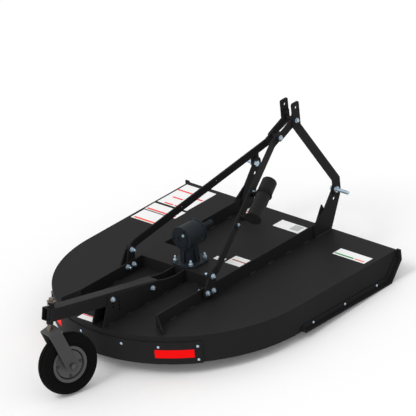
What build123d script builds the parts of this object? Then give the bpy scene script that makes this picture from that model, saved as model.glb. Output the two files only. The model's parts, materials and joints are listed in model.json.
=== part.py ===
from build123d import *

import os
from math import asin, atan2, cos, degrees, hypot, radians, sin

# Three-point brush mower, in millimetres.
# Working frame while modelling: X to the right, Y forwards to the hitch, Z up from the deck's top face.
# The output shaft's axis is X = Y = 0.  The finished pieces are then laid as the machine parks.

SIDES = (("left", -1), ("right", 1))

# Deck and skirts
deck_half_width = 830
deck_front = 895
deck_thickness = 5
skirt_thickness = 6
skirt_bottom = -174
side_chamfer_start = -62
side_chamfer_foot = 800
front_lip_depth = 55
front_lip_thickness = 8

# Rear shield bolted round the outside of the rear skirt
band_top = -36
band_bottom = -178
band_thickness = 6
band_half_angle = 46
band_gap = 0.5
curved_gap = 0.3

# Skids along the side plates
skid_top = 4
skid_bottom = -178
skid_width = 30
skid_thickness = 8
skid_leg_height = 42
skid_leg_thickness = 6
skid_front_gap = 8
skid_tail = 36
skid_tail_rise = 28
skid_tail_run = 16

# Rails on the deck; insets are measured forwards from the deck's rear edge
rail_inside = 300
rail_thickness = 10
rail_height = 78
rail_rear_inset = 190
rail_nose = 40
rail_hole_inset = 249
rail_hole_height = 35
rail_hole_radius = 6
gusset_inset = 23
gusset_angle = 30
gusset_end_height = 28
gusset_thickness = 6

# Gearbox platform between the rails
platform_half_length = 100
platform_thickness = 8

# Gearbox
gearbox_base = 188
gearbox_base_corner = 40
gearbox_base_thickness = 12
gearbox_foot = 94
gearbox_waist = 80
gearbox_axis_height = 249
barrel_radius = 71
barrel_rear = -50
barrel_front = 76
cover_radius = 75
cover_thickness = 9
boss_radius = 48
boss_height = 5
recess_radius = 21
recess_depth = 4
lug_radius = 11
lug_count = 3
lug_circle = 60
lug_start = 55
neck_radius = 40
neck_bottom = -24
neck_clearance = 0.3
shaft_clearance = 0.05
rib_thickness = 10
rib_reach = 66

# Input shaft
input_radius = 17.4
input_end = 208
input_depth = 45
spline_count = 6
spline_width = 8.7
spline_depth = 2.6
spline_length = 62

# Rotor under the deck
output_radius = 20
output_depth = 70
blade_bar_top = -84
blade_bar_thickness = 14
blade_bar_half_length = 296
blade_bar_width = 96
rotor_hub_radius = 46
rotor_hub_height = 26
blade_pivot = 250
blade_bolt_radius = 18
blade_gap = 6
blade_thickness = 10
blade_width = 76
blade_length = 500
blade_heel = 46
blade_wing = 70
blade_bolt_clearance = 0.08
blade_edge = 6
jumper_gap = 7
jumper_thickness = 6
jumper_flat = 276
jumper_radius = 304
jumper_rise = 2

# Tail plates, tail arm and caster; insets are measured forwards from the deck's rear edge
arm_width = 76
arm_depth = 80
arm_wall = 6
arm_angle = 11.8
arm_pivot_inset = 445
arm_pivot_height = 77
arm_lead = 52
arm_tail = 32
arm_bolt_radius = 8
kingpin_overhang = 375
tail_plate_thickness = 8
tail_plate_gap = 0.5
tail_top_inset = 76
tail_top_height = 180
edge_margin = 3
setting_inset_front = 155
setting_inset_rear = 103
setting_front_count = 4
setting_rear_count = 3
setting_hole_radius = 5
setting_pitch = 24

sleeve_radius = 21
sleeve_top = 72
sleeve_bottom = -62
kingpin_radius = 15
kingpin_top = 98
kingpin_end_chamfer = 2
kingpin_collar_radius = 26
kingpin_collar = 5
collar_gap = 1
fork_top = -98
fork_thickness = 8
fork_width = 80
fork_inside = 50
fork_bend = 18
caster_turn = -17.7
caster_trail = 136
caster_drop = 222
axle_radius = 12
axle_head_radius = 17
axle_head = 14
tyre_radius = 192
tyre_width = 85
tyre_shoulder = 14
tyre_crown_drop = 7
tyre_bulge_drop = 42
tyre_bead_gap = 2
groove_depth = 5
groove_width = 6
groove_offset = 15
rim_radius = 111
rim_lip = 10
rim_dish = 22
rim_thickness = 5
hub_radius = 30
hub_half_length = 45
tyre_seat_gap = 0.2

# Hitch: lower plates, pins, mast, ears and braces; lengths ahead or behind are from the deck's front edge
pin_ahead = 51
pin_z = 243
pin_radius = 11
pin_shoulder = 341.5
pin_tip = 430
pin_end_chamfer = 2
pin_nut_radius = 18
pin_nut = 14
pin_fit = 0.1
linch_radius = 5
second_hole_back = 11
second_hole_down = 61
hitch_plate_thickness = 10
hitch_eye_ahead = 12
hitch_eye_radius = 34
hitch_foot_behind = 153
hitch_foot_front = 3
hitch_front_ahead = 94
hitch_front_height = 190
hitch_knee_behind = 57
hitch_knee_height = 140
inner_foot_behind = 125
inner_foot_front = 11
inner_peak_behind = 47
inner_peak_height = 172
inner_peak_width = 18
inner_peak_drop = 40
mast_ahead = 62
mast_thickness = 10
mast_width = 62
mast_foot_drop = 31
mast_foot_rise = 62
mast_bolt_z = 618
mast_bend_drop = 40
mast_corner = 12
ear_hole_ahead = 66
ear_hole_z = 701
ear_hole_radius = 9.75
ear_top_rise = 35
ear_spread = 39
ear_thickness = 10
ear_radius = 25
ear_rise = 45
brace_bolt_behind = 80
brace_bolt_z = 560
brace_width = 50
brace_thickness = 10
brace_foot_behind = 1064
brace_foot_z = 142
brace_tab = 60
brace_hole_radius = 5.5
bracket_half_length = 42
bracket_rake = 20
bracket_foot_z = 20
bracket_top_radius = 26
bracket_thickness = 10
cross_bolt_radius = 9
spacer_radius = 15

# Manual tube on a bracket along the right brace
tube_radius = 43.5
tube_start = 464
tube_length = 291
tube_cap_length = 88
tube_cap_radius = 46
tube_cap_wall = 4
tube_cap_rounding = 8
tube_stand = 40
clip_thickness = 6
clip_width = 40
clip_below = 82
clip_above = 42
clip_collar = 7
clip_cap_gap = 13
clip_bolt_low = 56
clip_bolt_high = 24

# Values that follow from the sizes above
deck_under = -deck_thickness
rail_outside = rail_inside + rail_thickness
rail_rear = rail_rear_inset - deck_half_width
platform_leg = rail_height - platform_thickness
gearbox_top_face = rail_height + gearbox_base_thickness
plate_inside = arm_width / 2 + tail_plate_gap
hitch_outside = rail_outside + hitch_plate_thickness
mast_outside = hitch_outside + mast_thickness
ear_outside = ear_spread + mast_thickness
ear_inside = ear_spread - ear_thickness
brace_inside = ear_inside - brace_thickness
bracket_outside = rail_outside + bracket_thickness
blade_top = blade_bar_top - blade_bar_thickness - blade_gap
blade_under = blade_top - blade_thickness
jumper_top = blade_under - jumper_gap
output_bottom = jumper_top
pin_y = deck_front + pin_ahead
eye_y = pin_y + hitch_eye_ahead
mast_y = deck_front + mast_ahead
ear_y = deck_front + ear_hole_ahead
ear_z = ear_hole_z
brace_bolt_y = deck_front - brace_bolt_behind
brace_foot_y = deck_front - brace_foot_behind
arm_pivot = (arm_pivot_inset - deck_half_width, arm_pivot_height)
clip_upper = tube_length - tube_cap_length - clip_thickness - clip_cap_gap
brace_hole_low = tube_start - clip_bolt_low
brace_hole_high = tube_start + clip_upper + clip_bolt_high
arm_cosine = cos(radians(arm_angle))
arm_slope = sin(radians(arm_angle)) / arm_cosine
arm_bolt = (arm_pivot_inset - setting_inset_rear) / arm_cosine
kingpin_along = (arm_pivot_inset + kingpin_overhang) / arm_cosine
arm_length = kingpin_along + arm_tail

# Frames of the tail arm, of the caster, and of the caster as it stands turned about its kingpin
arm_along = Vector(0, -arm_cosine, sin(radians(arm_angle)))
arm_up = Vector(0, sin(radians(arm_angle)), arm_cosine)
arm_plane = Plane(origin=(0, *arm_pivot), x_dir=arm_along, z_dir=(1, 0, 0))
kingpin_foot = Vector(0, *arm_pivot) + arm_along * kingpin_along
caster_plane = Plane(origin=kingpin_foot, x_dir=(1, 0, 0), z_dir=arm_up)
fork_across = Vector(1, 0, 0).rotate(Axis((0, 0, 0), arm_up), caster_turn)
fork_plane = Plane(origin=kingpin_foot, x_dir=fork_across, z_dir=arm_up)
fork_side = Plane(origin=fork_plane.origin, x_dir=fork_plane.y_dir, z_dir=fork_plane.x_dir)
wheel_height = fork_top - caster_drop
wheel_centre = fork_side.from_local_coords(Vector(caster_trail, wheel_height, 0))
wheel_plane = Plane(origin=wheel_centre, x_dir=fork_plane.y_dir, z_dir=fork_plane.x_dir)

# The fork's strap leans from the kingpin's foot straight to the axle
strap_origin = fork_side.from_local_coords(Vector(0, fork_top, 0))
strap_down = (wheel_centre - strap_origin).normalized()
strap_reach = hypot(caster_trail, caster_drop)
strap_plane = Plane(origin=strap_origin, x_dir=fork_across, z_dir=fork_across.cross(strap_down))

pieces = []


def keep(piece, name):
    """Label a finished piece and keep it for export."""
    piece.part.label = name
    pieces.append(piece.part)


def strip(path, width):
    """Closed outline of a strip whose one edge is the path and whose other edge lies to its left."""
    edges = [Vector(b[0] - a[0], b[1] - a[1]).normalized() for a, b in zip(path, path[1:])]
    normals = [Vector(-edge.Y, edge.X) for edge in edges]
    other = []
    for index, (y, z) in enumerate(path):
        before = normals[max(index - 1, 0)]
        after = normals[min(index, len(normals) - 1)]
        mitre = (before + after) / (1 + before.dot(after))
        other.append((y + mitre.X * width, z + mitre.Y * width))
    return list(path) + other[::-1]


def ring_sector(inner, outer, start, sweep):
    """Face between two arcs about the origin, inside the sketch being built."""
    with BuildLine() as border:
        low = CenterArc((0, 0), inner, start, sweep)
        high = CenterArc((0, 0), outer, start, sweep)
        Line(low @ 0, high @ 0)
        Line(low @ 1, high @ 1)
    make_face(border.edges())


# Deck plate: straight sides, round at the rear, with the gearbox neck's hole
with BuildPart() as deck_plate:
    with BuildSketch(Plane.XY.offset(deck_under)):
        with BuildLine():
            Polyline((-deck_half_width, 0), (-deck_half_width, deck_front),
                     (deck_half_width, deck_front), (deck_half_width, 0))
            ThreePointArc((deck_half_width, 0), (0, -deck_half_width), (-deck_half_width, 0))
        make_face()
        Circle(neck_radius + neck_clearance, mode=Mode.SUBTRACT)
    extrude(amount=deck_thickness)
keep(deck_plate, "deck_plate")

# Rear skirt: half a ring under the deck's round end
with BuildPart() as rear_skirt:
    with BuildSketch(Plane.XY.offset(skirt_bottom)):
        ring_sector(deck_half_width - skirt_thickness, deck_half_width, 180, 180)
    extrude(amount=deck_under - skirt_bottom)
keep(rear_skirt, "rear_skirt")

# Rear shield: a curved band outside the rear skirt
with BuildPart() as rear_band:
    with BuildSketch(Plane.XY.offset(band_bottom)):
        band_inner = deck_half_width + band_gap
        ring_sector(band_inner, band_inner + band_thickness, 270 - band_half_angle, 2 * band_half_angle)
    extrude(amount=band_top - band_bottom)
keep(rear_band, "rear_band")

# Front lip under the deck's front edge
with BuildPart() as front_lip:
    with BuildSketch(Plane.XY.offset(deck_under - front_lip_depth)):
        with Locations((0, deck_front - front_lip_thickness / 2)):
            Rectangle(2 * (deck_half_width - skirt_thickness), front_lip_thickness)
    extrude(amount=front_lip_depth)
keep(front_lip, "front_lip")

for side, sign in SIDES:
    # Side plate with its cut front corner
    with BuildPart() as side_plate:
        with BuildSketch(Plane.YZ.offset(sign * deck_half_width)):
            Polygon([(0, deck_under), (deck_front, deck_under), (deck_front, side_chamfer_start),
                     (side_chamfer_foot, skirt_bottom), (0, skirt_bottom)])
        extrude(amount=-sign * skirt_thickness)
    keep(side_plate, f"side_plate_{side}")

    # Skid: a bent strip round the side plate's edge, with a leg that lies against the plate
    skid_front = deck_front + skid_front_gap
    skid_path = [(skid_front, skid_top), (skid_front, side_chamfer_start), (side_chamfer_foot, skid_bottom),
                 (skid_tail, skid_bottom), (skid_tail - skid_tail_run, skid_bottom + skid_tail_rise)]
    with BuildPart() as skid:
        with BuildSketch(Plane.YZ.offset(sign * deck_half_width)):
            Polygon(strip(skid_path[::-1], skid_thickness))
        extrude(amount=sign * skid_width)
        with BuildSketch(Plane.YZ.offset(sign * deck_half_width)):
            Polygon(strip(skid_path[3:0:-1], skid_leg_height))
        extrude(amount=sign * skid_leg_thickness)
    keep(skid, f"skid_{side}")

    # Rail: an upright plate on the deck, with a flange turned outwards at its rear end
    with BuildPart() as rail:
        with BuildSketch(Plane.YZ.offset(sign * rail_inside)):
            Polygon([(rail_rear, rail_height), (rail_rear, 0), (deck_front, 0),
                     (deck_front, rail_height - rail_nose), (deck_front - rail_nose, rail_height)])
            with Locations((rail_hole_inset - deck_half_width, rail_hole_height)):
                Circle(rail_hole_radius, mode=Mode.SUBTRACT)
        extrude(amount=sign * rail_thickness)
        flange_radius = deck_half_width - gusset_inset
        foot = Vector(sign * (rail_inside + rail_thickness / 2), rail_rear + gusset_thickness, 0)
        reach = Vector(sign * flange_radius * sin(radians(gusset_angle)),
                       -flange_radius * cos(radians(gusset_angle)), 0)
        flange_run = reach - foot
        flange_plane = Plane(origin=foot, x_dir=flange_run, z_dir=flange_run.cross(Vector(0, 0, 1)))
        with BuildSketch(flange_plane):
            Polygon([(0, 0), (flange_run.length, 0), (flange_run.length, gusset_end_height),
                     (0, rail_height)])
        extrude(amount=gusset_thickness / 2, both=True)
    keep(rail, f"rail_{side}")

# Platform: a channel laid open side down between the rails
with BuildPart() as platform:
    with BuildSketch(Plane.YZ.offset(-rail_inside)):
        Polygon([(-platform_half_length, 0), (-platform_half_length, rail_height),
                 (platform_half_length, rail_height), (platform_half_length, 0),
                 (platform_half_length - platform_thickness, 0),
                 (platform_half_length - platform_thickness, platform_leg),
                 (platform_thickness - platform_half_length, platform_leg),
                 (platform_thickness - platform_half_length, 0)])
    extrude(amount=2 * rail_inside)
    with BuildSketch(Plane.XY.offset(rail_height)):
        Circle(neck_radius + neck_clearance)
    extrude(amount=-platform_thickness, mode=Mode.SUBTRACT)
keep(platform, "platform")

# Gearbox: base plate, tapered foot with ribs, cross barrel with its covers, and the neck below
barrel_plane = Plane(origin=(0, 0, gearbox_axis_height), x_dir=(1, 0, 0), z_dir=(0, 1, 0))
with BuildPart() as gearbox:
    with BuildSketch(Plane.XY.offset(rail_height)) as base:
        Rectangle(gearbox_base, gearbox_base)
        chamfer(base.vertices(), gearbox_base_corner)
    extrude(amount=gearbox_base_thickness)
    with BuildSketch(Plane.XY.offset(gearbox_top_face)):
        RectangleRounded(gearbox_foot, gearbox_foot, gearbox_foot / 5)
    with BuildSketch(Plane.XY.offset(gearbox_axis_height)):
        RectangleRounded(gearbox_waist, gearbox_waist, gearbox_waist / 5)
    loft()
    for turn in (0, 90):
        with BuildSketch(Plane.XZ.rotated((0, 0, turn))):
            Polygon([(-rib_reach, gearbox_top_face), (rib_reach, gearbox_top_face),
                     (gearbox_waist / 2, gearbox_axis_height - barrel_radius / 2),
                     (-gearbox_waist / 2, gearbox_axis_height - barrel_radius / 2)])
        extrude(amount=rib_thickness / 2, both=True)
    with BuildSketch(barrel_plane.offset(barrel_rear)):
        Circle(barrel_radius)
    extrude(amount=barrel_front - barrel_rear)
    for face_y, outwards in ((barrel_rear, -1), (barrel_front, 1)):
        with BuildSketch(barrel_plane.offset(face_y)):
            Circle(cover_radius)
        extrude(amount=outwards * cover_thickness)
        with BuildSketch(barrel_plane.offset(face_y)):
            Circle(boss_radius)
            with PolarLocations(lug_circle, lug_count, start_angle=lug_start):
                Circle(lug_radius)
        extrude(amount=outwards * (cover_thickness + boss_height))
    with BuildSketch(barrel_plane.offset(barrel_rear - cover_thickness - boss_height)):
        Circle(recess_radius)
    extrude(amount=recess_depth, mode=Mode.SUBTRACT)
    with BuildSketch(Plane.XY.offset(rail_height)):
        Circle(neck_radius)
    extrude(amount=neck_bottom - rail_height)
    with BuildSketch(Plane.XY.offset(neck_bottom)):
        Circle(output_radius + shaft_clearance)
    extrude(amount=output_depth - neck_bottom, mode=Mode.SUBTRACT)
    with BuildSketch(barrel_plane.offset(barrel_front + cover_thickness + boss_height)):
        Circle(input_radius + shaft_clearance)
    extrude(amount=-input_depth - cover_thickness - boss_height, mode=Mode.SUBTRACT)
keep(gearbox, "gearbox")

# Input shaft with six splines on its free end
with BuildPart() as input_shaft:
    with BuildSketch(barrel_plane.offset(input_end)):
        Circle(input_radius)
    extrude(amount=barrel_front - input_depth - input_end)
    with BuildSketch(barrel_plane.offset(input_end)):
        with PolarLocations(input_radius, spline_count):
            Rectangle(2 * spline_depth, spline_width)
    extrude(amount=-spline_length, mode=Mode.SUBTRACT)
    chamfer(input_shaft.faces().sort_by(Axis.Y)[-1].edges(), 1)
keep(input_shaft, "input_shaft")

# Output shaft
with BuildPart() as output_shaft:
    with BuildSketch(Plane.XY.offset(output_bottom)):
        Circle(output_radius)
    extrude(amount=output_depth - output_bottom)
keep(output_shaft, "output_shaft")

# Blade bar: a hub and a flat bar that carries the two blade bolts
with BuildPart() as blade_bar:
    with BuildSketch(Plane.XY.offset(blade_bar_top - blade_bar_thickness)):
        SlotOverall(2 * blade_bar_half_length, blade_bar_width)
    extrude(amount=blade_bar_thickness)
    with BuildSketch(Plane.XY.offset(blade_bar_top)):
        Circle(rotor_hub_radius)
    extrude(amount=rotor_hub_height)
    with BuildSketch(Plane.XY.offset(blade_bar_top)):
        Circle(rotor_hub_radius)
    extrude(amount=jumper_top - blade_bar_top)
    with BuildSketch(Plane.XY.offset(blade_bar_top)):
        with Locations((-blade_pivot, 0), (blade_pivot, 0)):
            Circle(blade_bolt_radius)
    extrude(amount=jumper_top - blade_bar_top)
    with BuildSketch(Plane.XY.offset(blade_bar_top + rotor_hub_height)):
        Circle(output_radius)
    extrude(amount=output_bottom - blade_bar_top - rotor_hub_height, mode=Mode.SUBTRACT)
keep(blade_bar, "blade_bar")

# Stump jumper: a shallow dish under the blade bar
with BuildPart() as stump_jumper:
    with BuildSketch(Plane.XZ):
        jumper_low = jumper_top - jumper_thickness
        Polygon([(0, jumper_top), (jumper_flat, jumper_top), (jumper_radius, jumper_top + jumper_rise),
                 (jumper_radius, jumper_low + jumper_rise), (jumper_flat, jumper_low), (0, jumper_low)])
    revolve(axis=Axis.Z)
keep(stump_jumper, "stump_jumper")

# Blades: free on their bolts, with a sharpened edge and a lifted wing at the tip
for side, sign in SIDES:
    with BuildPart() as blade:
        with BuildSketch(Plane.XY.offset(blade_under)):
            with Locations((sign * (blade_pivot + blade_length / 2 - blade_heel / 2), 0)):
                Rectangle(blade_length + blade_heel, blade_width)
        extrude(amount=blade_thickness)
        heel = blade.edges().filter_by(Axis.Z).group_by(Axis.X, reverse=sign < 0)[0]
        fillet(heel, blade_width / 3)
        cutting_side = blade.faces().sort_by(Axis.Y, reverse=sign < 0)[-1]
        chamfer(cutting_side.edges().group_by(Axis.Z)[0], blade_edge)
        with BuildSketch(Plane.XZ.offset(sign * (blade_width / 2))):
            tip = sign * (blade_pivot + blade_length)
            Polygon([(tip, blade_top), (tip - sign * blade_wing, blade_top),
                     (tip, blade_top + blade_thickness)])
        extrude(amount=-sign * blade_width / 2)
        with BuildSketch(Plane.XY.offset(blade_top)):
            with Locations((sign * blade_pivot, 0)):
                Circle(blade_bolt_radius + blade_bolt_clearance)
        extrude(amount=-blade_thickness, mode=Mode.SUBTRACT)
    keep(blade, f"blade_{side}")

# Tail plates: upright on the deck, either side of the tail arm
tail_top_front = (arm_pivot[0] + arm_lead, arm_pivot[1] + arm_depth / 2 - arm_lead * arm_slope)
tail_waist = ((tail_top_front[0] - platform_half_length) / 2, rail_height)
for side, sign in SIDES:
    with BuildPart() as tail_plate:
        with BuildSketch(Plane.YZ.offset(sign * plate_inside)):
            with BuildLine():
                Polyline(tail_top_front, (tail_top_inset - deck_half_width, tail_top_height),
                         (edge_margin - deck_half_width, 0), (-platform_half_length, 0),
                         (-platform_half_length, rail_height))
                ThreePointArc((-platform_half_length, rail_height), tail_waist, tail_top_front)
            make_face()
            for inset, count in ((setting_inset_front, setting_front_count),
                                 (setting_inset_rear, setting_rear_count)):
                hole_z = arm_pivot[1] + (arm_pivot_inset - inset) * arm_slope
                hole_y = inset - deck_half_width
                with Locations(*[(hole_y, hole_z - row * setting_pitch) for row in range(count)]):
                    Circle(setting_hole_radius, mode=Mode.SUBTRACT)
            with Locations(arm_pivot):
                Circle(arm_bolt_radius, mode=Mode.SUBTRACT)
        extrude(amount=sign * tail_plate_thickness)
    keep(tail_plate, f"tail_plate_{side}")

# Tail arm: a square tube that slopes up to the caster
arm_start = arm_plane.from_local_coords(Vector(-arm_lead, 0, 0))
with BuildPart() as tail_arm:
    with BuildSketch(Plane(origin=arm_start, x_dir=(1, 0, 0), z_dir=arm_along)):
        RectangleRounded(arm_width, arm_depth, arm_wall)
        Rectangle(arm_width - 2 * arm_wall, arm_depth - 2 * arm_wall, mode=Mode.SUBTRACT)
    extrude(amount=arm_lead + arm_length)
    with BuildSketch(caster_plane.offset(-arm_depth)):
        Circle(sleeve_radius + curved_gap)
    extrude(amount=2 * arm_depth, mode=Mode.SUBTRACT)
    with BuildSketch(arm_plane.offset(-arm_width)):
        with Locations((0, 0), (arm_bolt, 0)):
            Circle(arm_bolt_radius)
    extrude(amount=2 * arm_width, mode=Mode.SUBTRACT)
keep(tail_arm, "tail_arm")

# Kingpin sleeve through the arm's rear end
with BuildPart() as kingpin_sleeve:
    with BuildSketch(caster_plane.offset(sleeve_bottom)):
        Circle(sleeve_radius)
        Circle(kingpin_radius + shaft_clearance, mode=Mode.SUBTRACT)
    extrude(amount=sleeve_top - sleeve_bottom)
keep(kingpin_sleeve, "kingpin_sleeve")

# Kingpin with the collar that holds it up in the sleeve; its foot is cut to the leaning strap
with BuildPart() as kingpin:
    with BuildSketch(caster_plane.offset(fork_top - kingpin_radius)):
        Circle(kingpin_radius)
    extrude(amount=kingpin_top - fork_top + kingpin_radius)
    with BuildSketch(caster_plane.offset(sleeve_top + collar_gap)):
        Circle(kingpin_collar_radius)
    extrude(amount=kingpin_collar)
    chamfer(kingpin.faces().sort_by(Axis.Z)[-1].edges(), kingpin_end_chamfer)
    split(bisect_by=Plane(origin=strap_origin, z_dir=-strap_down), keep=Keep.TOP)
keep(kingpin, "kingpin")

# Caster fork: a strap bent into a U, with round ends at the axle
with BuildPart() as caster_fork:
    fork_outside = fork_inside + fork_thickness
    with BuildSketch(strap_plane):
        with BuildLine():
            bend = FilletPolyline((fork_outside, strap_reach), (fork_outside, 0), (-fork_outside, 0),
                                  (-fork_outside, strap_reach), radius=fork_bend)
            inner = FilletPolyline((fork_inside, strap_reach), (fork_inside, fork_thickness),
                                   (-fork_inside, fork_thickness), (-fork_inside, strap_reach),
                                   radius=fork_bend - fork_thickness)
            Line(bend @ 0, inner @ 0)
            Line(bend @ 1, inner @ 1)
        make_face()
    extrude(amount=fork_width / 2, both=True)
    for sign in (-1, 1):
        with BuildSketch(wheel_plane.offset(sign * fork_inside)):
            Circle(fork_width / 2)
        extrude(amount=sign * fork_thickness)
    with BuildSketch(wheel_plane.offset(-2 * fork_inside)):
        Circle(axle_radius + shaft_clearance)
    extrude(amount=4 * fork_inside, mode=Mode.SUBTRACT)
keep(caster_fork, "caster_fork")

# Axle bolt with a head and a nut outside the fork
with BuildPart() as axle:
    with BuildSketch(wheel_plane.offset(-fork_outside)):
        Circle(axle_radius)
    extrude(amount=2 * fork_outside)
    for sign in (-1, 1):
        with BuildSketch(wheel_plane.offset(sign * fork_outside)):
            RegularPolygon(axle_head_radius, 6)
        extrude(amount=sign * axle_head)
keep(axle, "axle")

# Wheel rim: a dished disc, a hub and a lipped well, turned about the axle
axle_axis = Axis(wheel_plane.origin, wheel_plane.z_dir)
wheel_section = Plane(origin=wheel_plane.origin, x_dir=wheel_plane.x_dir, z_dir=-wheel_plane.y_dir)
bead = tyre_width / 2 - rim_lip
with BuildPart() as wheel_rim:
    with BuildSketch(wheel_section):
        Polygon([(axle_radius + shaft_clearance, -hub_half_length), (hub_radius, -hub_half_length),
                 (hub_radius, rim_dish - rim_thickness),
                 (rim_radius - 4 * rim_thickness, rim_dish - rim_thickness),
                 (rim_radius - 2 * rim_thickness, 0), (rim_radius - 2 * rim_thickness, -bead + rim_lip),
                 (rim_radius - rim_thickness, -bead), (rim_radius + rim_lip, -bead),
                 (rim_radius + rim_lip, -bead + rim_thickness / 2), (rim_radius, -bead + rim_thickness / 2),
                 (rim_radius - rim_thickness, -bead + rim_lip + rim_thickness),
                 (rim_radius - rim_thickness, bead - rim_lip - rim_thickness),
                 (rim_radius, bead - rim_thickness / 2), (rim_radius + rim_lip, bead - rim_thickness / 2),
                 (rim_radius + rim_lip, bead), (rim_radius - rim_thickness, bead),
                 (rim_radius - 2 * rim_thickness, bead - rim_lip), (rim_radius - 2 * rim_thickness, rim_dish),
                 (hub_radius, rim_dish), (hub_radius, hub_half_length),
                 (axle_radius + shaft_clearance, hub_half_length)])
    revolve(axis=axle_axis)
keep(wheel_rim, "wheel_rim")

# Tyre: rounded section with two grooves, seated between the rim's lips
with BuildPart() as tyre:
    seat = rim_radius + tyre_seat_gap
    seat_half = bead - rim_thickness / 2 - tyre_seat_gap
    bead_top = rim_radius + rim_lip + tyre_bead_gap
    shoulder_radius = tyre_radius - tyre_shoulder
    shoulder_half = tyre_width / 2 - tyre_crown_drop
    bulge_radius = tyre_radius - tyre_bulge_drop
    with BuildSketch(wheel_section):
        with BuildLine():
            Polyline((bead_top, -seat_half), (seat, -seat_half), (seat, seat_half), (bead_top, seat_half))
            ThreePointArc((bead_top, seat_half), (bulge_radius, tyre_width / 2),
                          (shoulder_radius, shoulder_half))
            ThreePointArc((shoulder_radius, shoulder_half), (tyre_radius, 0),
                          (shoulder_radius, -shoulder_half))
            ThreePointArc((shoulder_radius, -shoulder_half), (bulge_radius, -tyre_width / 2),
                          (bead_top, -seat_half))
        make_face()
        with Locations((tyre_radius, groove_offset), (tyre_radius, -groove_offset)):
            Rectangle(2 * groove_depth, groove_width, mode=Mode.SUBTRACT)
    revolve(axis=axle_axis)
keep(tyre, "tyre")

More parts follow.
